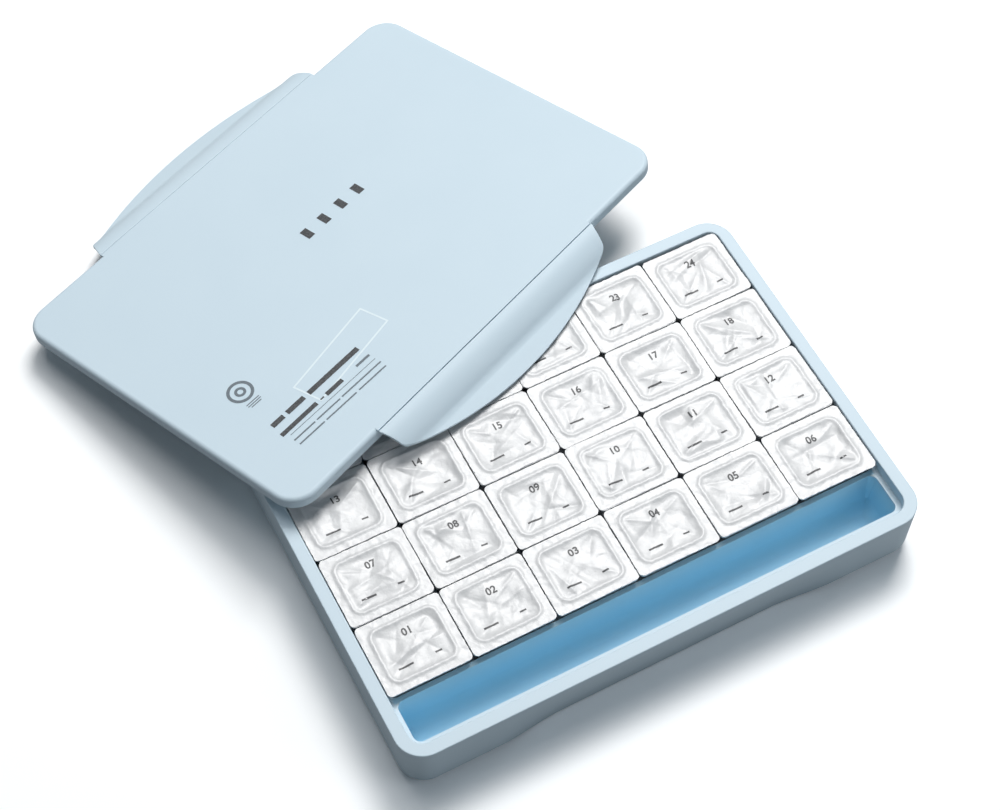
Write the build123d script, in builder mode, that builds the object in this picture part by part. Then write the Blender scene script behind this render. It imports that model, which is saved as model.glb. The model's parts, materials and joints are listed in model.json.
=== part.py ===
from build123d import *
import os
from math import asin, atan2, cos, degrees, hypot, radians, sin, tan

# Gouache paint set box, in millimetres: a shallow tray with a brush trough and a grid of
# foil-sealed paint cups, and a lift-off lid with a living-hinged flap along each long side.
# The origin is the centre of the tray's underside; +X runs along the long side, +Y to the
# rear, where the lid leans, and +Z up.

# ---- tray
tray_length = 293.0
tray_width = 208.0
tray_height = 38.0
tray_corner = 15.0          # outer corner radius, seen from above
tray_draft = 0.9            # each side's lean, in degrees, narrower at the base
base_round = 8.0            # rounding along the base
rim_width = 7.0
rim_edge = 0.6              # small rounding of the rim's edges
tray_floor = 2.4

# finger scoop in each long side, under the closed flap
scoop_depth = 5.0           # how far in it reaches at the base
scoop_flat = 118.0          # its even stretch
scoop_run = 52.0            # each S-shaped end
scoop_below_rim = 4.0       # where it starts, down from the rim
cut_margin = 1.0            # how far a cutting shape runs past the face it opens

# brush trough along the front
ledge_drop = 7.0            # ledge around the trough, below the rim
ledge_front = 4.0
ledge_end = 2.9
trough_width = 23.4
trough_floor = 3.2
trough_corner = 4.0
trough_draft = 1.5          # each side's lean, in degrees
trough_round = 7.0          # rounding along the trough's bottom
partition = 2.6             # wall between the trough and the cup bay
bay_corner = 6.0

# ---- paint cups, in rows a to d from the trough to the rear and columns 1 to 6
cup_columns = 6
cup_rows = 4
cup_gap = 0.8               # between the flanges of two neighbours
cup_end_gap = 0.7           # between the end columns' flanges and the rim
cup_rear_gap = 1.55         # between the last row's flanges and the rim
cup_front_reach = 1.15      # the first row's flanges over the partition
foil_below_rim = 1.0        # the foils' top face, down from the rim
foil_thickness = 0.15
flange_thickness = 1.0
flange_corner = 2.5
flange_margin = 5.05        # flange around the cup's mouth
cup_wall = 0.8
cup_taper = 3.0             # each wall's lean, in degrees
mouth_corner = 5.0
cup_foot_round = 2.5
paint_below_flange = 2.0
under_lid = ("c1", "c2", "c3", "d1", "d2", "d3", "d4", "d5")   # cups that the lid lies over

# ---- lid
lid_overhang = 0.2          # per side, larger than the tray
lid_corner = 15.0
lid_panel = 1.8
lid_wall = 1.8
lid_skirt = 6.5             # outer height of the edge
lid_edge_round = 2.5

# ---- flaps
flap_half_length = 85.7     # at the hinge
flap_half_tip = 81.4        # where the end meets the curved tip
flap_corner = 5.0
flap_tip_radius = 215.0     # curve of the tip, seen from above
flap_thickness = 1.5
hinge_outset = 1.5          # hinge line, out from the lid's long edge
hinge_clearance = 0.3       # groove between the lid and the flap's root
roll_radius = 20.0          # the flap rolls over convex from the hinge
roll_angle = 48.0
lip_radius = 7.0            # then turns out into a flatter lip
lip_angle = 10.0
lip_length = 10.2

# ---- how the lid lies: its front flap on the cups and its rear flap on the ground
lid_turn = 22.3             # about the vertical
lid_dip = 1.1               # its right end lower
front_flap_rest = 14.5      # the front flap hangs this much below its moulded angle
rear_flap_rest = 1.8
lid_overlap = 12.4          # middle of the lid's front edge, in from the tray's rear side
lid_shift = -2.9            # the same point, along X
foil_clearance = 1.5        # middle of the front lip to the foils, so that its end clears the rim
ground_clearance = 0.6      # middle of the rear lip to the ground

# ---- worked out from the sizes above
inner_length = tray_length - 2 * rim_width
inner_width = tray_width - 2 * rim_width
inner_corner = tray_corner - rim_width
ledge_top = tray_height - ledge_drop
trough_length = inner_length - 2 * ledge_end
trough_front = -inner_width / 2 + ledge_front
trough_y = trough_front + trough_width / 2
trough_depth = ledge_top - trough_floor
bay_front = trough_front + trough_width + partition
bay_rear = inner_width / 2
bay_y = (bay_front + bay_rear) / 2

foil_top = tray_height - foil_below_rim
flange_top = foil_top - foil_thickness
grid_front = bay_front - cup_front_reach
grid_rear = bay_rear - cup_rear_gap
grid_y = (grid_front + grid_rear) / 2
cup_pitch_x = (inner_length - 2 * cup_end_gap + cup_gap) / cup_columns
cup_pitch_y = (grid_rear - grid_front + cup_gap) / cup_rows
flange_length = cup_pitch_x - cup_gap
flange_width = cup_pitch_y - cup_gap
mouth_length = flange_length - 2 * flange_margin
mouth_width = flange_width - 2 * flange_margin

lid_length = tray_length + 2 * lid_overhang
lid_width = tray_width + 2 * lid_overhang
base_inset = tray_height * tan(radians(tray_draft))

os.makedirs("parts", exist_ok=True)


def save(piece, name):
    """Label a finished piece and write it to its own STEP file."""
    piece.part.label = name
    export_step(piece.part, f"parts/{name}.step")


def tapered(length, width, corner, depth, taper, foot):
    """Rounded block that narrows downwards from z = 0, with its foot's edges rounded."""
    with BuildPart() as upside_down:
        with BuildSketch():
            RectangleRounded(length, width, corner)
        extrude(amount=depth, taper=taper)
        fillet(upside_down.faces().sort_by(Axis.Z)[-1].edges(), foot)
    return upside_down.part.rotate(Axis.X, 180)


# ---- tray --------------------------------------------------------------------------------
def scoop_profile(depth):
    """Half-plane outside the front face, with the scoop's S-shaped bay cut into it."""
    flat, end, outside = scoop_flat / 2, scoop_flat / 2 + scoop_run, -cut_margin
    with BuildLine() as outline:
        Spline((-end, 0), (-flat, depth), tangents=((1, 0), (1, 0)))
        Line((-flat, depth), (flat, depth))
        Spline((flat, depth), (end, 0), tangents=((1, 0), (1, 0)))
        Polyline((end, 0), (end, outside), (-end, outside), (-end, 0))
    return outline.line


with BuildPart() as scoop:
    # deepest at the base and fading out below the rim
    scoop_top = tray_height - scoop_below_rim
    for height, depth in ((-cut_margin, scoop_depth + base_inset), (scoop_top, 0)):
        with BuildSketch(Plane((0, -tray_width / 2, height))):
            add(scoop_profile(depth))
            make_face()
    loft()

with BuildPart() as trough:
    # its bottom is rounded along the sides and the ends
    with BuildSketch(Plane.XY.offset(trough_floor)):
        with Locations((0, trough_y)):
            RectangleRounded(trough_length, trough_width, trough_corner)
    extrude(amount=trough_depth)
    lean = 2 * trough_depth * tan(radians(trough_draft))
    for along, across, width, run in (
        ((1, 0, 0), (0, 1, 0), trough_width, trough_length),
        ((0, -1, 0), (1, 0, 0), trough_length, trough_width),
    ):
        with BuildSketch(Plane((0, trough_y, ledge_top), x_dir=across, z_dir=along)) as section:
            with BuildLine():
                Polyline(
                    (-width / 2, 0),
                    (width / 2, 0),
                    ((width - lean) / 2, -trough_depth),
                    ((lean - width) / 2, -trough_depth),
                    close=True,
                )
            make_face()
            fillet(section.vertices().group_by(Axis.Y)[0], trough_round)
        extrude(amount=run, both=True, mode=Mode.INTERSECT)

with BuildPart() as tray:
    with Locations((0, 0, tray_height)):
        add(tapered(tray_length, tray_width, tray_corner, tray_height, tray_draft, base_round))
    add(scoop.part, mode=Mode.SUBTRACT)
    add(scoop.part.mirror(Plane.XZ), mode=Mode.SUBTRACT)
    # the open top inside the rim, down to the ledge
    with BuildSketch(Plane.XY.offset(ledge_top)):
        RectangleRounded(inner_length, inner_width, inner_corner)
    extrude(amount=ledge_drop, mode=Mode.SUBTRACT)
    # the bay that the cups stand in
    with BuildSketch(Plane.XY.offset(tray_floor)):
        with Locations((0, bay_y)):
            RectangleRounded(inner_length, bay_rear - bay_front, bay_corner)
    extrude(amount=tray_height - tray_floor, mode=Mode.SUBTRACT)
    add(trough.part, mode=Mode.SUBTRACT)
    fillet(tray.faces().sort_by(Axis.Z)[-1].edges(), rim_edge)

save(tray, "tray")


# ---- paint cups --------------------------------------------------------------------------
cup_body = tapered(
    mouth_length + 2 * cup_wall,
    mouth_width + 2 * cup_wall,
    mouth_corner + cup_wall,
    flange_top - tray_floor,
    cup_taper,
    cup_foot_round,
)
cup_inside = tapered(
    mouth_length,
    mouth_width,
    mouth_corner,
    flange_top - tray_floor - cup_wall,
    cup_taper,
    cup_foot_round - cup_wall,
)

with BuildPart() as cup:
    with Locations((0, 0, flange_top)):
        add(cup_body)
    with BuildSketch(Plane.XY.offset(flange_top - flange_thickness)):
        RectangleRounded(flange_length, flange_width, flange_corner)
    extrude(amount=flange_thickness)
    with Locations((0, 0, flange_top)):
        add(cup_inside, mode=Mode.SUBTRACT)

with BuildPart() as paint:
    with Locations((0, 0, flange_top)):
        add(cup_inside)
    split(bisect_by=Plane.XY.offset(flange_top - paint_below_flange), keep=Keep.BOTTOM)

with BuildPart() as foil:
    with BuildSketch(Plane.XY.offset(flange_top)):
        RectangleRounded(flange_length, flange_width, flange_corner)
    extrude(amount=foil_thickness)

cup_places = {}
with Locations((0, grid_y)):
    grid = GridLocations(cup_pitch_x, cup_pitch_y, cup_columns, cup_rows).locations
for place in grid:
    column = round(place.position.X / cup_pitch_x + (cup_columns + 1) / 2)
    row = round((place.position.Y - grid_y) / cup_pitch_y + (cup_rows - 1) / 2)
    cup_places[f"{'abcd'[row]}{column}"] = place

pieces = (("paint_cup", cup.part), ("foil_seal", foil.part), ("paint_fill", paint.part))
for kind, shape in pieces:
    with BuildPart() as covered:
        with Locations([cup_places[cell] for cell in under_lid]):
            add(shape)
    save(covered, f"{kind}s_under_lid")
    for cell in sorted(set(cup_places) - set(under_lid)):
        with BuildPart() as single:
            with Locations(cup_places[cell]):
                add(shape)
        save(single, f"{kind}_{cell}")


# ---- lid ---------------------------------------------------------------------------------
def lip_place(rest_angle):
    """The tip of a flap's underside, out from the lid's edge and down from its top face."""
    roll, lip = radians(roll_angle), radians(lip_angle)
    out = roll_radius * sin(roll) + lip_radius * (sin(roll) - sin(lip)) + lip_length * cos(lip)
    down = roll_radius * (1 - cos(roll)) + lip_radius * (cos(lip) - cos(roll)) + lip_length * sin(lip)
    out, down = out - flap_thickness * sin(lip), down + flap_thickness * (cos(lip) - 0.5)
    turn = radians(rest_angle)
    return (
        hinge_outset + out * cos(turn) - down * sin(turn),
        flap_thickness / 2 + down * cos(turn) + out * sin(turn),
    )


def lid_lean():
    """Lean, in degrees, and front edge height at which both flaps touch what carries them."""
    front_out, front_down = lip_place(front_flap_rest)
    rear_out, rear_down = lip_place(rear_flap_rest)
    front_height = foil_top + foil_clearance
    rear_height = ground_clearance
    reach = lid_width + front_out + rear_out
    difference = front_down - rear_down
    lean = atan2(difference, reach) + asin((front_height - rear_height) / hypot(reach, difference))
    return degrees(lean), front_height + front_down * cos(lean) - front_out * sin(lean)


lean_angle, front_edge_height = lid_lean()
lid_x = Vector(1, 0, 0).rotate(Axis.Y, lid_dip).rotate(Axis.Z, lid_turn)
lid_up = Vector(0, 0, 1).rotate(Axis.X, -lean_angle).rotate(Axis.Y, lid_dip).rotate(Axis.Z, lid_turn)
lid_y = lid_up.cross(lid_x)
front_middle = Vector(lid_shift, tray_width / 2 - lid_overlap, front_edge_height)
lid_top = Plane(origin=front_middle + lid_y * (lid_width / 2), x_dir=lid_x, z_dir=lid_up)


def flap_frame(side, rest_angle):
    """Plane whose origin is the middle of a flap's hinge, X outwards and Z along the hinge."""
    outwards = lid_y * side
    along = lid_x * side
    hinge = lid_top.origin + outwards * (lid_width / 2 + hinge_outset) - lid_up * (flap_thickness / 2)
    drooped = outwards * cos(radians(rest_angle)) - lid_up * sin(radians(rest_angle))
    return Plane(origin=hinge, x_dir=drooped, z_dir=along)


flap_frames = {"front_flap": flap_frame(-1, front_flap_rest), "rear_flap": flap_frame(1, rear_flap_rest)}

with BuildPart() as lid:
    with BuildSketch(lid_top.offset(-lid_skirt)):
        RectangleRounded(lid_length, lid_width, lid_corner)
    extrude(amount=lid_skirt)
    fillet(lid.faces().sort_by(Axis(lid_top.origin, lid_up))[-1].edges(), lid_edge_round)
    with BuildSketch(lid_top.offset(-lid_skirt)):
        RectangleRounded(lid_length - 2 * lid_wall, lid_width - 2 * lid_wall, lid_corner - lid_wall)
    extrude(amount=lid_skirt - lid_panel, mode=Mode.SUBTRACT)
    # hinge shelves, flush with the top, that carry the flaps
    shelf_out = hinge_outset - flap_thickness / 2 - hinge_clearance
    shelf_in = lid_edge_round + lid_wall
    with BuildSketch(lid_top.offset(-flap_thickness)):
        for side in (-1, 1):
            with Locations((0, side * (lid_width / 2 + (shelf_out - shelf_in) / 2))):
                Rectangle(2 * flap_half_length, shelf_out + shelf_in)
    extrude(amount=flap_thickness)

save(lid, "lid")


# ---- flaps -------------------------------------------------------------------------------
for name, frame in flap_frames.items():
    with BuildPart() as flap:
        with BuildSketch(frame.offset(-flap_half_length)):
            with BuildLine():
                top = JernArc((0, flap_thickness / 2), (1, 0), roll_radius, -roll_angle)
                top_turn = JernArc(top @ 1, top % 1, lip_radius, roll_angle - lip_angle)
                top_lip = Line(top_turn @ 1, top_turn @ 1 + (top_turn % 1) * lip_length)
                under = JernArc((0, -flap_thickness / 2), (1, 0), roll_radius - flap_thickness, -roll_angle)
                under_turn = JernArc(under @ 1, under % 1, lip_radius + flap_thickness, roll_angle - lip_angle)
                under_lip = Line(under_turn @ 1, under_turn @ 1 + (under_turn % 1) * lip_length)
                Line(top_lip @ 1, under_lip @ 1)
                Line(top @ 0, under @ 0)
            make_face()
            Circle(flap_thickness / 2)      # rounded root, centred on the hinge
        extrude(amount=2 * flap_half_length)
        # tip and ends, seen from above
        tip_out = (top_lip @ 1).X
        end_out = tip_out - flap_tip_radius + (flap_tip_radius**2 - flap_half_tip**2) ** 0.5
        with BuildSketch(Plane(frame.origin, frame.z_dir, frame.y_dir)) as plan:
            with BuildLine():
                ThreePointArc((-flap_half_tip, end_out), (0, tip_out), (flap_half_tip, end_out))
                Polyline(
                    (flap_half_tip, end_out),
                    (flap_half_length, 0),
                    (flap_half_length, -flap_thickness),
                    (-flap_half_length, -flap_thickness),
                    (-flap_half_length, 0),
                    (-flap_half_tip, end_out),
                )
            make_face()
            fillet(plan.vertices().sort_by(Axis.Y)[-2:], flap_corner)
        extrude(amount=roll_radius, both=True, mode=Mode.INTERSECT)
    save(flap, name)

print("lean", round(lean_angle, 2), "front edge height", round(front_edge_height, 2))
print("lid centre", lid_top.origin, "x", lid_x, "y", lid_y, "up", lid_up)
for name, frame in flap_frames.items():
    print(name, "hinge", frame.origin, "along", frame.z_dir)
print("cup grid centre y", grid_y)
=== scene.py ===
import json
import math
import random

import bpy
from mathutils import Matrix, Vector

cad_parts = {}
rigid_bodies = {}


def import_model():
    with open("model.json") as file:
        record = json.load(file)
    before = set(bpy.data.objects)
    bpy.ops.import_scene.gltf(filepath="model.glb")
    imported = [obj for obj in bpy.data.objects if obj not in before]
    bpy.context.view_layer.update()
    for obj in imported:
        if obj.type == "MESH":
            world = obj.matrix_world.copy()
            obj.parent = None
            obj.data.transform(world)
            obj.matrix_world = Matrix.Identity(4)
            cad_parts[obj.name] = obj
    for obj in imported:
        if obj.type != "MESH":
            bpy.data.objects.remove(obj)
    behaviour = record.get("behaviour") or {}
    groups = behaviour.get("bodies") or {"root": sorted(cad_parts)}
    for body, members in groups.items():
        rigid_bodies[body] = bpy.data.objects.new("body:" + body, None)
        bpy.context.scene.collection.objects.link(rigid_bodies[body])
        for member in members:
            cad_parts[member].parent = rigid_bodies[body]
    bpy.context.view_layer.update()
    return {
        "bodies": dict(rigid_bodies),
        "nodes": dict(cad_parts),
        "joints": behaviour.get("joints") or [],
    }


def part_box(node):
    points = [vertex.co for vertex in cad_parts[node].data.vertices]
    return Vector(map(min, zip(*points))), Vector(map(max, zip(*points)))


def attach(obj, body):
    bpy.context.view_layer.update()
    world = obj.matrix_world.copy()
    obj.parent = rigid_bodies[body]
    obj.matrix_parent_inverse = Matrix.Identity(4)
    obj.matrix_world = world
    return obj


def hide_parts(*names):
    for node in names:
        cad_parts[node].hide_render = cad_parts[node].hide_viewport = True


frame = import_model()

nodes = frame["nodes"]
joints = {joint["name"]: joint for joint in frame["joints"]}
mm = 0.001


# shader maths: a socket that takes part in sums
class Field:
    def __init__(self, tree, socket):
        self.tree, self.socket = tree, socket

    def node(self, kind, settings=None, sockets=None, output=0):
        made = self.tree.nodes.new(kind)
        for name, value in (settings or {}).items():
            if name == "stops":
                ramp = made.color_ramp.elements
                for index, (position, colour) in enumerate(value):
                    stop = ramp[index] if index < 2 else ramp.new(position)
                    stop.position = position
                    stop.color = colour
            else:
                setattr(made, name, value)
        for name, value in (sockets or {}).items():
            if isinstance(value, Field):
                self.tree.links.new(value.socket, made.inputs[name])
            else:
                made.inputs[name].default_value = value
        return Field(self.tree, made.outputs[output])

    def maths(self, operation, *values):
        return self.node("ShaderNodeMath", {"operation": operation}, dict(enumerate(values)))

    def __add__(self, other):
        return self.maths("ADD", self, other)

    def __radd__(self, other):
        return self.maths("ADD", other, self)

    def __sub__(self, other):
        return self.maths("SUBTRACT", self, other)

    def __rsub__(self, other):
        return self.maths("SUBTRACT", other, self)

    def __mul__(self, other):
        return self.maths("MULTIPLY", self, other)

    # 0 below low, 1 above high, smooth between
    def step(self, low, high):
        return self.node(
            "ShaderNodeMapRange",
            {"interpolation_type": "SMOOTHSTEP"},
            {"Value": self, "From Min": low, "From Max": high},
        )

    # how far this place lies along a direction
    def along(self, direction):
        return self.node(
            "ShaderNodeVectorMath", {"operation": "DOT_PRODUCT"}, {0: self, 1: direction}, "Value"
        )

    def noise(self, scale, detail=2.0, roughness=0.5):
        return self.node(
            "ShaderNodeTexNoise", None,
            {"Vector": self, "Scale": scale, "Detail": detail, "Roughness": roughness}, "Fac",
        )

    # colours: this field chooses between two
    def colours(self, first, second):
        return self.node(
            "ShaderNodeMix", {"data_type": "RGBA"}, {0: self, 6: first, 7: second}, 2
        )

    def bump(self, strength, distance, under=None):
        sockets = {"Height": self, "Strength": strength, "Distance": distance}
        if under is not None:
            sockets["Normal"] = under
        return self.node("ShaderNodeBump", None, sockets, "Normal")


def newMaterial(name, **constants):
    material = bpy.data.materials.new(name)
    material.use_nodes = True
    tree = material.node_tree
    shader = tree.nodes["Principled BSDF"]
    for socket, value in constants.items():
        shader.inputs[socket.replace("_", " ")].default_value = value
    place = Field(tree, tree.nodes.new("ShaderNodeTexCoord").outputs["Object"])
    return material, shader, place


def feed(shader, **fields):
    for socket, field in fields.items():
        field.tree.links.new(field.socket, shader.inputs[socket.replace("_", " ")])


def dress(piece, material):
    piece.data.materials.clear()
    piece.data.materials.append(material)


# the lid lies turned and leaning: its own directions come from its two hinges
frontHinge = Vector(joints["front_flap_hinge"]["pos_m"])
rearHinge = Vector(joints["rear_flap_hinge"]["pos_m"])
lidX = Vector(joints["rear_flap_hinge"]["axis"]).normalized()
lidY = (rearHinge - frontHinge).normalized()
lidUp = lidX.cross(lidY)
hingeDrop = 0.75 * mm     # hinge line below the lid's top face
lidCentre = (frontHinge + rearHinge) / 2 + lidUp * hingeDrop
lidTurn = Matrix((lidX, lidY, lidUp)).transposed().to_4x4()
lidPlace = Matrix.Translation(lidCentre) @ lidTurn


# pale blue moulded plastic, with the fine grain of a spark-eroded mould
plasticLook = {
    "pale": (0.585, 0.700, 0.775, 1),
    "paler": (0.615, 0.728, 0.798, 1),
    # the two deeper blues that follow are painted shade for the trough's inside, not a colour of
    # its own
    "deep": (0.420, 0.710, 0.870, 1),
    "troughShadeNearMouth": (0.510, 0.760, 0.890, 1),
    "grain": 2600,
    "mottle": 22,
    "flow": 4.5,
    "indexOfRefraction": 1.46,
    "specular": 0.42,
    "roughness": 0.40,
    "mottleRoughness": 0.08,
    "grainRoughness": 0.06,
    "grainBump": (0.10, 0.06 * mm),     # strength, depth
    "flowBump": (0.25, 0.6 * mm),
}


def plasticBase(name):
    look = plasticLook
    material, shader, place = newMaterial(
        name, IOR=look["indexOfRefraction"], Specular_IOR_Level=look["specular"]
    )
    mottle = place.noise(look["mottle"], detail=3)
    grain = place.noise(look["grain"], detail=2, roughness=0.6)
    flow = place.noise(look["flow"], detail=1)
    feed(
        shader,
        Roughness=(
            look["roughness"]
            + mottle * look["mottleRoughness"]
            + grain * look["grainRoughness"]
        ),
        Normal=grain.bump(*look["grainBump"], under=flow.bump(*look["flowBump"])),
    )
    return material, shader, place, mottle


def makeLidPlastic():
    material, shader, _, mottle = plasticBase("paleBluePlastic")
    feed(shader, Base_Color=mottle.colours(plasticLook["pale"], plasticLook["paler"]))
    return material


# the brush trough is painted a deeper, bluer tone below its ledge: painted shade standing in for
# the shaded, blue-lit inside of the trough, paler towards its mouth where more light reaches
troughShadeLook = {
    "ledge": 31 * mm,
    "ledgeDrop": 0.9 * mm,      # where the painted shade stops below the ledge
    "rear": -66.9 * mm,
    "wall": -70.2 * mm,
    "wallRise": 1.5 * mm,       # it stops that much higher on the wall to the cups
    "frontWall": 10 * mm,
    "end": 137.2 * mm,
    "floor": 2.9 * mm,
    "floorBlend": 0.3 * mm,
    "blend": 0.4 * mm,
    "ledgeBlend": 0.5 * mm,
    "shadeFadesFrom": 12 * mm,
}


def makeTrayPlastic():
    material, shader, place, mottle = plasticBase("trayPlastic")
    up = place.along((0, 0, 1))
    depth = place.along((0, 1, 0))
    side = place.along((1, 0, 0))
    trough = troughShadeLook
    blend = trough["blend"]
    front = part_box("tray")[0].y + trough["frontWall"]
    wallTop = (depth - trough["wall"]).step(0, blend) * trough["wallRise"]
    # mask of the painted shade: the trough's inside below its ledge and the top of its wall to
    # the cups
    troughShadeMask = (
        (trough["ledge"] - trough["ledgeDrop"] + wallTop - up).step(0, trough["ledgeBlend"])
        * (trough["rear"] - depth).step(0, blend)
        * (depth - front).step(0, blend)
        * (trough["end"] - side.maths("ABSOLUTE", side)).step(0, blend)
        * up.step(trough["floor"] - trough["floorBlend"], trough["floor"])
    )
    # painted light: the painted shade pales upwards, towards the trough's mouth
    mouth = up.step(trough["shadeFadesFrom"], trough["ledge"])
    outer = mottle.colours(plasticLook["pale"], plasticLook["paler"])
    inner = mouth.colours(plasticLook["deep"], plasticLook["troughShadeNearMouth"])
    feed(shader, Base_Color=troughShadeMask.colours(outer, inner))
    return material


# the living hinges: a thin web along each groove between the lid and a flap's root
hingeWeb = {
    "inner": 1.25 * mm,
    "outer": 0.80 * mm,
    "top": 0.42 * mm,           # at 0.62 mm a folded flap touches it
    "thickness": 0.06 * mm,
}


def layHingeWeb(name, material):
    hinge = joints[f"{name}_hinge"]
    pin = Vector(hinge["pos_m"])
    along = Vector(hinge["axis"]).normalized()
    out = along.cross(lidUp)
    flap = nodes[name]
    reach = [
        (flap.matrix_world @ vertex.co - pin).dot(along) for vertex in flap.data.vertices
    ]
    low, high = min(reach), max(reach)
    bpy.ops.object.select_all(action="DESELECT")
    bpy.ops.mesh.primitive_cube_add(size=1, location=(0, 0, 0))
    web = bpy.context.object
    web.name = f"{name}_web"
    width = hingeWeb["inner"] - hingeWeb["outer"]
    inward = -(hingeWeb["inner"] + hingeWeb["outer"]) / 2
    middle = Vector((inward, (low + high) / 2, hingeWeb["top"]))
    size = Matrix.Diagonal((width, high - low, hingeWeb["thickness"], 1))
    turn = Matrix((out, along, out.cross(along))).transposed().to_4x4()
    if turn.to_3x3().col[2].dot(lidUp) < 0:
        middle.z = -middle.z
    web.data.transform(Matrix.Translation(pin) @ turn @ Matrix.Translation(middle) @ size)
    dress(web, material)
    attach(web, "lid_body")


lidPlastic = makeLidPlastic()
trayPlastic = makeTrayPlastic()
dress(nodes["tray"], trayPlastic)
for part in ("lid", "front_flap", "rear_flap"):
    dress(nodes[part], lidPlastic)
for part in ("front_flap", "rear_flap"):
    layHingeWeb(part, lidPlastic)
print("plastic done")


# cups: thin white plastic, a little glossy
cupLook = {
    "indexOfRefraction": 1.49,
    "dull": (0.80, 0.81, 0.82, 1),
    "bright": (0.87, 0.87, 0.88, 1),
    "tone": 90,
    "grain": 700,
    "roughness": (0.28, 0.12),  # least, and how much the tone adds
    "bump": (0.06, 0.2 * mm),
}


def makeCupPlastic():
    look = cupLook
    material, shader, place = newMaterial("whiteCupPlastic", IOR=look["indexOfRefraction"])
    tone = place.noise(look["tone"], detail=2)
    least, added = look["roughness"]
    feed(
        shader,
        Base_Color=tone.colours(look["dull"], look["bright"]),
        Roughness=least + tone * added,
        Normal=place.noise(look["grain"], detail=2).bump(*look["bump"]),
    )
    return material


paintLook = {
    "indexOfRefraction": 1.42,
    "deep": (0.58, 0.12, 0.10, 1),
    "warm": (0.74, 0.24, 0.14, 1),
    "swirl": 120,
    "roughness": (0.45, 0.2),
    "bump": (0.3, 0.8 * mm),
}


def makePaint():
    look = paintLook
    material, shader, place = newMaterial("gouache", IOR=look["indexOfRefraction"])
    swirl = place.noise(look["swirl"], detail=4, roughness=0.6)
    least, added = look["roughness"]
    feed(
        shader,
        Base_Color=swirl.colours(look["deep"], look["warm"]),
        Roughness=least + swirl * added,
        Normal=swirl.bump(*look["bump"]),
    )
    return material


cupPlastic = makeCupPlastic()
gouache = makePaint()
for name, node in nodes.items():
    if name.startswith("paint_cup"):
        dress(node, cupPlastic)
    elif name.startswith("paint_fill"):
        dress(node, gouache)


# foil seals: white-lacquered aluminium, pressed over each cup's mouth and crinkled
foilLook = {
    "grid": 0.6 * mm,
    "corner": 2.3 * mm,
    "cornerSegments": 7,
    "mouthX": 17.7 * mm,        # half the mouth's length and width
    "mouthY": 15.0 * mm,
    "mouthCorner": 5.0 * mm,
    "rim": 0.60 * mm,           # height of the ridge pressed round the mouth
    "rimWidth": 1.1 * mm,
    "sink": 0.45 * mm,          # how far the middle lies below the flange
    "dipWidth": 4.5 * mm,       # from the mouth's edge to the full depth
    "deepest": 1.5 * mm,        # no fold reaches the paint
    "calm": 0.12,               # the flange's share of the panel's wrinkles
    "thickness": 0.1 * mm,
    "lift": 0.12 * mm,
    "turn": 0.7,                # most that a foil is turned, degrees
    "shift": 0.2,               # most that it is off its cup, mm
    "smoothAngle": 50,
}

foilSurface = {
    "indexOfRefraction": 1.5,
    "metallic": 0.13,
    "specular": 0.3,
    "dull": (0.59, 0.59, 0.595, 1),
    "bright": (0.71, 0.71, 0.71, 1),
    "tone": 160,
    "roughness": (0.38, 0.16),
    "cells": 210.0,
    "cellEdge": 0.10,
    "waves": 420,
    "fine": 2400,
    "cellBump": (0.07, 0.3 * mm),
    "waveBump": (0.22, 0.7 * mm),
    "fineBump": (0.15, 0.1 * mm),
}


def makeFoil():
    look = foilSurface
    material, shader, place = newMaterial(
        "crinkledFoil", IOR=look["indexOfRefraction"],
        Metallic=look["metallic"], Specular_IOR_Level=look["specular"],
    )
    tone = place.noise(look["tone"], detail=3, roughness=0.6)
    crease = place.node(
        "ShaderNodeTexVoronoi", {"feature": "DISTANCE_TO_EDGE"},
        {"Vector": place, "Scale": look["cells"], "Randomness": 1.0}, "Distance",
    )
    folds = crease.step(0.0, look["cellEdge"])
    waves = place.noise(look["waves"], detail=3, roughness=0.55)
    fine = place.noise(look["fine"], detail=2, roughness=0.6)
    under = waves.bump(*look["waveBump"], under=folds.bump(*look["cellBump"]))
    least, added = look["roughness"]
    feed(
        shader,
        Base_Color=tone.colours(look["dull"], look["bright"]),
        Roughness=least + tone * added,
        Normal=fine.bump(*look["fineBump"], under=under),
    )
    return material


def roundedDistance(x, y, halfX, halfY, corner):
    outX = max(abs(x) - halfX + corner, 0)
    outY = max(abs(y) - halfY + corner, 0)
    inward = max(abs(x) - halfX, abs(y) - halfY)
    return inward if min(outX, outY) == 0 else math.hypot(outX, outY) - corner


def onlyActive(piece):
    bpy.ops.object.select_all(action="DESELECT")
    piece.select_set(True)
    bpy.context.view_layer.objects.active = piece


def applyAll(piece):
    onlyActive(piece)
    for modifier in list(piece.modifiers):
        bpy.ops.object.modifier_apply(modifier=modifier.name)


sliceWeld = 0.02 * mm     # points closer than this are one after slicing


# cut a flat piece, in edit mode, into a grid so that it can take a relief
def sliceGrid(width, length, step):
    for across, span in (((1, 0, 0), width), ((0, 1, 0), length)):
        cuts = max(int(span / step), 2)
        for cut in range(1, cuts):
            place = Vector(across) * (cut / cuts - 0.5) * span
            bpy.ops.mesh.select_all(action="SELECT")
            bpy.ops.mesh.bisect(plane_co=place, plane_no=across)
    bpy.ops.mesh.select_all(action="SELECT")
    bpy.ops.mesh.remove_doubles(threshold=sliceWeld)


# a plane with rounded corners
def flatFoil(width, length):
    bpy.ops.object.select_all(action="DESELECT")
    bpy.ops.mesh.primitive_plane_add(size=1, location=(0, 0, 0))
    foil = bpy.context.object
    foil.data.transform(Matrix.Diagonal((width, length, 1, 1)))
    bpy.ops.object.mode_set(mode="EDIT")
    bpy.ops.mesh.select_all(action="SELECT")
    bpy.ops.mesh.bevel(
        offset=foilLook["corner"], segments=foilLook["cornerSegments"], affect="VERTICES"
    )
    sliceGrid(width, length, foilLook["grid"])
    bpy.ops.object.mode_set(mode="OBJECT")
    return foil


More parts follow.
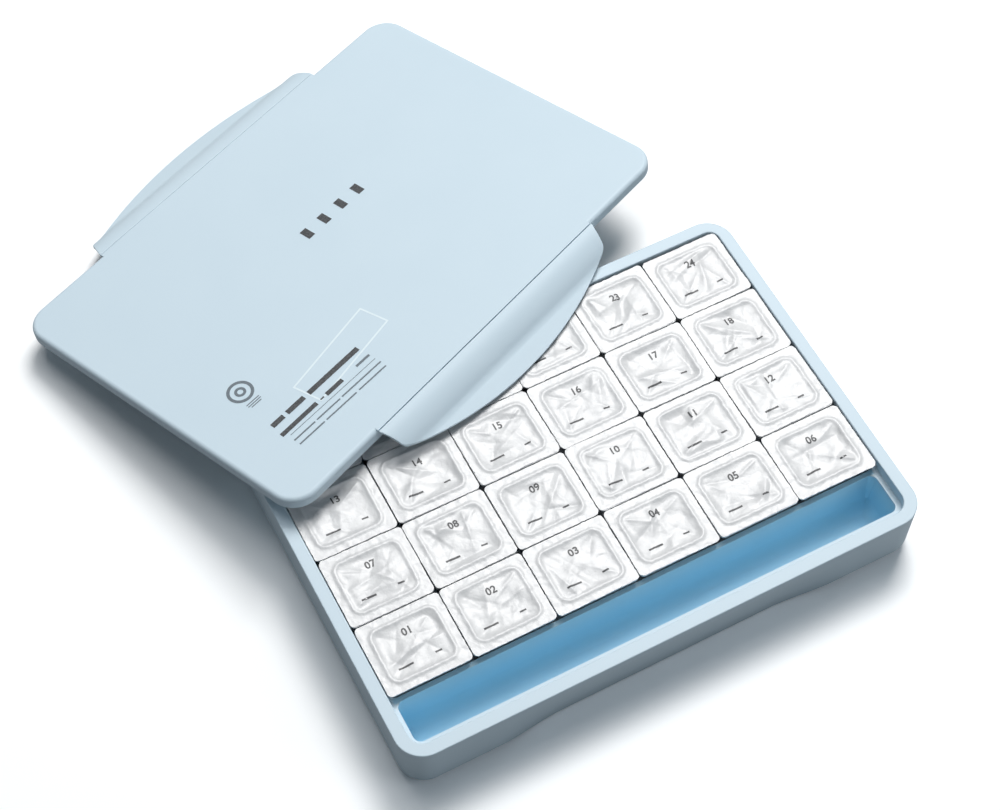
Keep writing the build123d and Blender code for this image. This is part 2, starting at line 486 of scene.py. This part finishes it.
# straight creases: some at random over the mouth, one pulled towards each of its corners
foldLook = {
    "creases": 7,
    "spread": 0.8,              # share of the mouth that the creases' middles lie in
    "height": (0.55 * mm, 1.25 * mm),
    "width": (1.6 * mm, 4.6 * mm),
    "length": (7 * mm, 20 * mm),
    "cornerAt": 0.62,           # share of the way from the middle to a corner
    "cornerSpread": 28,         # degrees
    "cornerHeight": (0.50 * mm, 1.00 * mm),
    "cornerWidth": (1.0, 2.0),  # mm
    "cornerLength": (8, 14),    # mm
}


def makeFolds():
    look = foldLook
    mouthX, mouthY = foilLook["mouthX"], foilLook["mouthY"]
    spread, cornerAt = look["spread"], look["cornerAt"]
    folds = []
    for _ in range(look["creases"]):
        angle = random.uniform(0, math.pi)
        height = random.choice((-1, 1)) * random.uniform(*look["height"])
        centre = (
            random.uniform(-spread, spread) * mouthX,
            random.uniform(-spread, spread) * mouthY,
        )
        width = random.uniform(*look["width"])
        length = random.uniform(*look["length"])
        folds.append((centre, angle, height, width, length))
    for cornerX, cornerY in ((-1, -1), (1, -1), (-1, 1), (1, 1)):
        centre = (cornerAt * cornerX * mouthX, cornerAt * cornerY * mouthY)
        off = math.radians(random.uniform(-1, 1) * look["cornerSpread"])
        angle = math.atan2(centre[1], centre[0]) + off
        height = random.choice((-1, 1)) * random.uniform(*look["cornerHeight"])
        width = random.uniform(*look["cornerWidth"]) * mm
        length = random.uniform(*look["cornerLength"]) * mm
        folds.append((centre, angle, height, width, length))
    return folds


def foldHeight(x, y, folds):
    total = 0
    for (middleX, middleY), angle, height, width, length in folds:
        along = (x - middleX) * math.cos(angle) + (y - middleY) * math.sin(angle)
        across = (y - middleY) * math.cos(angle) - (x - middleX) * math.sin(angle)
        total += height * math.exp(-abs(across) / width - (along / length) ** 2)
    return total


# raise the rim, sink and fold the panel, and say how strongly each point may crinkle:
# the panel's wrinkles are weak on the flange, the border's fade towards the middle
def pressFoil(foil, folds):
    look = foilLook
    calm, deepest = look["calm"], look["deepest"]
    panel = foil.vertex_groups.new(name="panel")
    border = foil.vertex_groups.new(name="border")
    for vertex in foil.data.vertices:
        x, y = vertex.co.x, vertex.co.y
        outside = roundedDistance(x, y, look["mouthX"], look["mouthY"], look["mouthCorner"])
        ridge = math.exp(-(outside / look["rimWidth"]) ** 2)
        inner = min(max(-outside / look["dipWidth"], 0), 1)
        dip = inner * inner * (3 - 2 * inner)
        relief = look["rim"] * ridge + (foldHeight(x, y, folds) - look["sink"]) * dip
        vertex.co.z = relief if relief > 0 else deepest * math.tanh(relief / deepest)
        panel.add([vertex.index], calm + (1 - calm) * dip, "REPLACE")
        border.add([vertex.index], 1 - dip, "REPLACE")


wrinkles = {
    "swell": {"size": 11.0 * mm, "strength": 1.4 * mm, "group": "panel", "way": "Z"},
    "ripple": {"size": 3.2 * mm, "strength": 0.16 * mm, "group": "panel", "way": "Z"},
    "edge": {"size": 3.5 * mm, "strength": 0.50 * mm, "group": "border", "way": "Z"},
    "fray": {"size": 2.2 * mm, "strength": 0.55 * mm, "group": "border", "way": "X"},
    "frayAcross": {"size": 2.5 * mm, "strength": 0.55 * mm, "group": "border", "way": "Y"},
}
wrinkleTextures = {}
for name, wrinkle in wrinkles.items():
    texture = bpy.data.textures.new(name, "CLOUDS")
    texture.noise_scale = wrinkle["size"]
    texture.noise_depth = 1
    wrinkleTextures[name] = texture


def crinkle(foil):
    for name, wrinkle in wrinkles.items():
        displace = foil.modifiers.new(name, "DISPLACE")
        displace.texture = wrinkleTextures[name]
        displace.texture_coords = "LOCAL"
        displace.direction = wrinkle["way"]
        displace.strength = wrinkle["strength"]
        displace.mid_level = 0.5
        displace.vertex_group = wrinkle["group"]
    wall = foil.modifiers.new("wall", "SOLIDIFY")
    wall.thickness = foilLook["thickness"]
    wall.offset = -1
    applyAll(foil)
    bpy.ops.object.shade_smooth_by_angle(angle=math.radians(foilLook["smoothAngle"]))


foilMaterial = makeFoil()
sampleLow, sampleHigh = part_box("foil_seal_a1")
foilWidth, foilLength = sampleHigh.x - sampleLow.x, sampleHigh.y - sampleLow.y
blank = flatFoil(foilWidth, foilLength)
print("foil blank", len(blank.data.vertices), "points")

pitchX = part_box("foil_seal_a2")[0].x - sampleLow.x
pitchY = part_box("foil_seal_b1")[0].y - sampleLow.y
firstCup = (sampleLow + sampleHigh) / 2
rowNames = "abcd"
columnCount = 6


def cupCentre(row, column):
    x = firstCup.x + (column - 1) * pitchX
    return Vector((x, firstCup.y + row * pitchY, sampleHigh.z))


random.seed(24)
mostTurn, mostShift = foilLook["turn"], foilLook["shift"]
foils = {}
for row, rowName in enumerate(rowNames):
    for column in range(1, columnCount + 1):
        foil = blank.copy()
        foil.data = blank.data.copy()
        foil.name = f"foil_{rowName}{column}"
        pressFoil(foil, makeFolds())
        bpy.context.collection.objects.link(foil)
        turn = Matrix.Rotation(math.radians(random.uniform(-mostTurn, mostTurn)), 4, "Z")
        shiftX = random.uniform(-mostShift, mostShift) * mm
        shiftY = random.uniform(-mostShift, mostShift) * mm
        place = cupCentre(row, column) + Vector((shiftX, shiftY, foilLook["lift"]))
        foil.data.transform(Matrix.Translation(place) @ turn)
        crinkle(foil)
        dress(foil, foilMaterial)
        foils[f"{rowName}{column}"] = foil
bpy.data.objects.remove(blank)
print("foils crinkled", len(foils))


# inks: each a little paler in specks, over a range that its wear sets
inks = {
    "foilInk": {"colour": (0.060, 0.060, 0.063, 1), "wear": 0.3},
    "lidInk": {"colour": (0.020, 0.023, 0.027, 1), "wear": 0.12},
    "greyInk": {"colour": (0.120, 0.150, 0.175, 1), "wear": 0.2},
    "paleInk": {"colour": (0.76, 0.86, 0.90, 1), "wear": 0.2},
}
inkLook = {
    "indexOfRefraction": 1.45,
    "specks": 900,
    "paler": 0.04,
    "roughness": (0.42, 0.12),
}


def makeInk(name):
    colour, wear = inks[name]["colour"], inks[name]["wear"]
    material, shader, place = newMaterial(name, IOR=inkLook["indexOfRefraction"])
    specks = place.noise(inkLook["specks"], detail=3, roughness=0.65)
    speckle = specks.step(0.5 - wear, 0.5 + wear)
    paler = tuple(c + inkLook["paler"] * (1 - c) for c in colour[:3]) + (1,)
    least, added = inkLook["roughness"]
    feed(shader, Base_Color=speckle.colours(paler, colour), Roughness=least + speckle * added)
    return material


foilInk = makeInk("foilInk")
lidInk = makeInk("lidInk")
greyInk = makeInk("greyInk")
paleInk = makeInk("paleInk")


def joined(pieces, name):
    bpy.ops.object.select_all(action="DESELECT")
    for piece in pieces:
        piece.select_set(True)
    bpy.context.view_layer.objects.active = pieces[0]
    bpy.ops.object.join()
    whole = bpy.context.object
    whole.name = name
    return whole


# a plain bar: place and size in mm, turn in degrees, cut so that it can follow a relief
def bar(x, y, width, length, turn=0.0, cuts=1):
    bpy.ops.object.select_all(action="DESELECT")
    bpy.ops.mesh.primitive_grid_add(
        x_subdivisions=cuts, y_subdivisions=1, size=1, location=(0, 0, 0)
    )
    made = bpy.context.object
    place = Matrix.Translation((x * mm, y * mm, 0)) @ Matrix.Rotation(math.radians(turn), 4, "Z")
    made.data.transform(place @ Matrix.Diagonal((width * mm, length * mm, 1, 1)))
    return made


figureLook = {
    "capShare": 0.7,            # a digit's height in the font's size
    "weight": 0.035,            # how much a digit is thickened, in its height
    "widthShare": 2.4,          # the sliced area, in the digits' height
    "heightShare": 1.2,
    "slice": 0.6 * mm,
}


# a plain number with its middle on x, y, all in mm
def figure(words, x, y, height):
    bpy.ops.object.select_all(action="DESELECT")
    bpy.ops.object.text_add(location=(0, 0, 0))
    made = bpy.context.object
    made.data.body = words
    made.data.size = height * mm / figureLook["capShare"]
    made.data.offset = figureLook["weight"] * height * mm
    made.data.align_x = "CENTER"
    made.data.resolution_u = 3
    bpy.ops.object.convert(target="MESH")
    made = bpy.context.object
    made.data.transform(Matrix.Translation((0, -height * mm / 2, 0)))
    bpy.ops.object.mode_set(mode="EDIT")
    sliceGrid(
        figureLook["widthShare"] * height * mm,
        figureLook["heightShare"] * height * mm,
        figureLook["slice"],
    )
    bpy.ops.object.mode_set(mode="OBJECT")
    made.data.transform(Matrix.Translation((x * mm, y * mm, 0)))
    return made


# print on each foil, in its cup's own millimetres: a plain number and two short rules
foilPrint = {
    "number": (0.5, 8.2, 4.0),              # x, y, height
    "longRule": (-8.0, -8.6, 8.0, 1.0),     # x, y, width, length
    "longCuts": 20,
    "shortRule": (9.6, -8.6, 3.6, 0.9),
    "shortCuts": 9,
    "dropFrom": 4 * mm,
    "above": 0.10 * mm,
}


def printOnFoil(name, number, place):
    pieces = [
        figure(f"{number:02d}", *foilPrint["number"]),
        bar(*foilPrint["longRule"], cuts=foilPrint["longCuts"]),
        bar(*foilPrint["shortRule"], cuts=foilPrint["shortCuts"]),
    ]
    marks = joined(pieces, f"mark_{name}")
    marks.data.transform(Matrix.Translation(place + Vector((0, 0, foilPrint["dropFrom"]))))
    drape = marks.modifiers.new("drape", "SHRINKWRAP")
    drape.wrap_method = "PROJECT"
    drape.use_project_z = True
    drape.use_negative_direction = True
    drape.use_positive_direction = False
    drape.wrap_mode = "ABOVE_SURFACE"
    drape.target = foils[name]
    drape.offset = foilPrint["above"]
    applyAll(marks)
    dress(marks, foilInk)
    return marks


looseMarks = {}
for row, rowName in enumerate(rowNames):
    for column in range(1, columnCount + 1):
        name = f"{rowName}{column}"
        number = row * columnCount + column
        looseMarks[name] = printOnFoil(name, number, cupCentre(row, column))

# a cup that can be lifted out carries its own foil; the foils under the lid stay together
fixedFoils, fixedMarks = [], []
for name, foil in foils.items():
    if f"cup_{name}" in frame["bodies"]:
        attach(foil, f"cup_{name}")
        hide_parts(f"foil_seal_{name}")
        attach(looseMarks[name], f"cup_{name}")
    else:
        fixedFoils.append(foil)
        fixedMarks.append(looseMarks[name])
coveredFoils = joined(fixedFoils, "foils_under_lid")
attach(coveredFoils, "tray_body")
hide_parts("foil_seals_under_lid")
coveredMarks = joined(fixedMarks, "marks_under_lid")
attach(coveredMarks, "tray_body")
print("foil prints done")


# print on the lid, in its own millimetres: plain bars, rules, an outline rectangle and
# two rings; a rule is its middle's x, y, its width and its length
lidPrint = {
    "bars": [(-8.0, 19.2), (5.5, 19.2), (19.0, 19.2), (32.5, 19.2)],
    "barSize": (4.6, 7.6),
    "darkRules": [
        (-111.6, -58.2, 8.4, 3.2), (-98.6, -58.4, 12.6, 3.2), (-70.6, -59.0, 37.0, 3.2),
        (-104.2, -66.4, 26.0, 2.7), (-87.2, -66.8, 2.6, 0.9), (-78.2, -67.0, 12.0, 2.7),
    ],
    "darkTurn": -1.0,
    "greyRules": [
        (-56.6, -67.2, 9.8, 1.5), (-83.0, -70.7, 62.5, 0.35),
        (-108.0, -74.0, 15.0, 0.9), (-90.5, -74.4, 17.0, 0.9), (-66.0, -75.0, 29.0, 0.9),
        (-106.5, -78.0, 18.0, 0.9), (-85.0, -78.6, 22.0, 0.9), (-62.0, -79.2, 20.0, 0.9),
        (-109.6, -37.9, 9.0, 0.6), (-109.6, -39.3, 9.0, 0.6), (-109.6, -40.7, 7.0, 0.6),
    ],
    "greyTurn": -1.7,
    "outline": (-59.8, -54.6, 61.0, 18.8, 7.3),     # x, y, length, width, turn
    "outlineLine": 1.0,
    "ringCentre": (-109.3, -28.4),
    "rings": [(7.4, 5.6), (3.2, 1.6)],              # outer and inner radius
    "ringPoints": 64,
    "above": 0.04 * mm,
}


def flatRing(x, y, outer, inner):
    bpy.ops.object.select_all(action="DESELECT")
    bpy.ops.mesh.primitive_circle_add(
        vertices=lidPrint["ringPoints"], radius=outer * mm, fill_type="NGON", location=(0, 0, 0)
    )
    made = bpy.context.object
    bpy.ops.object.mode_set(mode="EDIT")
    bpy.ops.mesh.select_all(action="SELECT")
    bpy.ops.mesh.inset(thickness=(outer - inner) * mm)
    bpy.ops.mesh.delete(type="FACE")
    bpy.ops.object.mode_set(mode="OBJECT")
    made.data.transform(Matrix.Translation((x * mm, y * mm, 0)))
    return made


def layOnLid(pieces, name, material, above):
    marks = joined(pieces, name)
    marks.data.transform(lidPlace @ Matrix.Translation((0, 0, above)))
    dress(marks, material)
    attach(marks, "lid_body")


darkPieces = [bar(*middle, *lidPrint["barSize"]) for middle in lidPrint["bars"]]
darkPieces += [bar(*rule, lidPrint["darkTurn"]) for rule in lidPrint["darkRules"]]
layOnLid(darkPieces, "lid_dark_marks", lidInk, 2 * lidPrint["above"])

greyPieces = [bar(*rule, lidPrint["greyTurn"]) for rule in lidPrint["greyRules"]]
greyPieces += [flatRing(*lidPrint["ringCentre"], *radii) for radii in lidPrint["rings"]]
layOnLid(greyPieces, "lid_grey_marks", greyInk, 2 * lidPrint["above"])

boxX, boxY, boxLength, boxWidth, boxTurn = lidPrint["outline"]
line = lidPrint["outlineLine"]
spin = Matrix.Rotation(math.radians(boxTurn), 4, "Z")
farX, farY, shortSide = (boxLength - line) / 2, (boxWidth - line) / 2, boxWidth - 2 * line
palePieces = []
for along, across, w, h in (
    (0, farY, boxLength, line), (0, -farY, boxLength, line),
    (farX, 0, line, shortSide), (-farX, 0, line, shortSide),
):
    spot = spin @ Vector((along, across, 0))
    palePieces.append(bar(boxX + spot.x, boxY + spot.y, w, h, boxTurn))
layOnLid(palePieces, "lid_pale_outline", paleInk, lidPrint["above"])
print("lid prints done")


# the floor looks brighter than the light it sends back to the object
floorLook = {
    "size": 9.0,
    "seen": 1.18,
    "unseen": 0.42,
    "plainFrom": 0.50,          # plain white well away from the object's shadow
    "plainBy": 1.10,
}


def makeFloor():
    material = bpy.data.materials.new("floorWhite")
    material.use_nodes = True
    tree = material.node_tree
    tree.nodes.clear()
    start = Field(tree, tree.nodes.new("ShaderNodeLightPath").outputs["Is Camera Ray"])
    seen, unseen = ((floorLook[tone],) * 3 + (1,) for tone in ("seen", "unseen"))
    tones = start.colours(unseen, seen)
    matt = start.node("ShaderNodeBsdfDiffuse", None, {"Color": tones}, "BSDF")
    glow = start.node("ShaderNodeEmission", None, {"Strength": 1.0}, "Emission")
    place = Field(tree, tree.nodes.new("ShaderNodeTexCoord").outputs["Object"])
    distance = start.node("ShaderNodeVectorMath", {"operation": "LENGTH"}, {0: place}, "Value")
    away = distance.step(floorLook["plainFrom"], floorLook["plainBy"])
    both = start.node(
        "ShaderNodeMixShader", None, {0: away * start, 1: matt, 2: glow}, "Shader"
    )
    out = tree.nodes.new("ShaderNodeOutputMaterial")
    tree.links.new(both.socket, out.inputs["Surface"])
    return material


bpy.ops.object.select_all(action="DESELECT")
bpy.ops.mesh.primitive_plane_add(size=floorLook["size"], location=(0, 0, 0))
floor = bpy.context.object
floor.name = "floor"
dress(floor, makeFloor())

# what the object sees around it; the camera, mirrors and glass see plain white
ambient = {"colour": (0.66, 0.85, 1.0, 1), "strength": 0.135}


def makeWorld():
    world = bpy.data.worlds.new("studio")
    bpy.context.scene.world = world
    world.use_nodes = True
    tree = world.node_tree
    tree.nodes.clear()
    path = tree.nodes.new("ShaderNodeLightPath")
    seen = Field(tree, path.outputs["Is Camera Ray"])
    glossy = Field(tree, path.outputs["Is Glossy Ray"])
    through = Field(tree, path.outputs["Is Transmission Ray"])
    plain = seen.maths("MAXIMUM", seen, seen.maths("MAXIMUM", glossy, through))
    white = seen.node(
        "ShaderNodeBackground", None, {"Color": (1, 1, 1, 1), "Strength": 1.0}, "Background"
    )
    soft = seen.node(
        "ShaderNodeBackground", None,
        {"Color": ambient["colour"], "Strength": ambient["strength"]}, "Background",
    )
    mixed = seen.node("ShaderNodeMixShader", None, {0: plain, 1: soft, 2: white}, "Shader")
    out = tree.nodes.new("ShaderNodeOutputWorld")
    tree.links.new(mixed.socket, out.inputs["Surface"])


makeWorld()

lamps = {
    "key": {
        "from": (1.04, 1.03, 2.35), "size": 1.1, "watts": 51.5, "colour": (1.0, 0.99, 0.975),
    },
    "top": {
        "from": (0.15, 0.80, 2.70), "size": 1.5, "watts": 24.0, "colour": (0.98, 0.99, 1.0),
    },
    "fill": {
        "from": (1.30, -1.20, 1.00), "size": 1.0, "watts": 5.5, "colour": (0.88, 0.94, 1.0),
    },
}
aim = Vector((-0.02, 0.08, 0.02))     # the spot that every lamp faces
for name, lamp in lamps.items():
    light = bpy.data.lights.new(name, "AREA")
    light.shape = "SQUARE"
    light.size = lamp["size"]
    light.energy = lamp["watts"]
    light.color = lamp["colour"]
    holder = bpy.data.objects.new(name, light)
    bpy.context.collection.objects.link(holder)
    holder.location = aim + Vector(lamp["from"])
    holder.rotation_euler = (-Vector(lamp["from"])).to_track_quat("-Z", "Y").to_euler()

cameraPlace = {
    "at": (-0.27982, -0.45106, 0.98605),
    "towards": (-0.01556, 0.05249, 0.03707),
    "lens": 76.696,
    "sensor": 36,
}
camera = bpy.data.objects.new("camera", bpy.data.cameras.new("camera"))
bpy.context.collection.objects.link(camera)
camera.location = cameraPlace["at"]
gaze = Vector(cameraPlace["towards"]) - Vector(cameraPlace["at"])
camera.rotation_euler = gaze.to_track_quat("-Z", "Y").to_euler()
camera.data.lens = cameraPlace["lens"]
camera.data.sensor_width = cameraPlace["sensor"]
bpy.context.scene.camera = camera
bpy.context.scene.view_settings.view_transform = "Standard"
print("stage done")
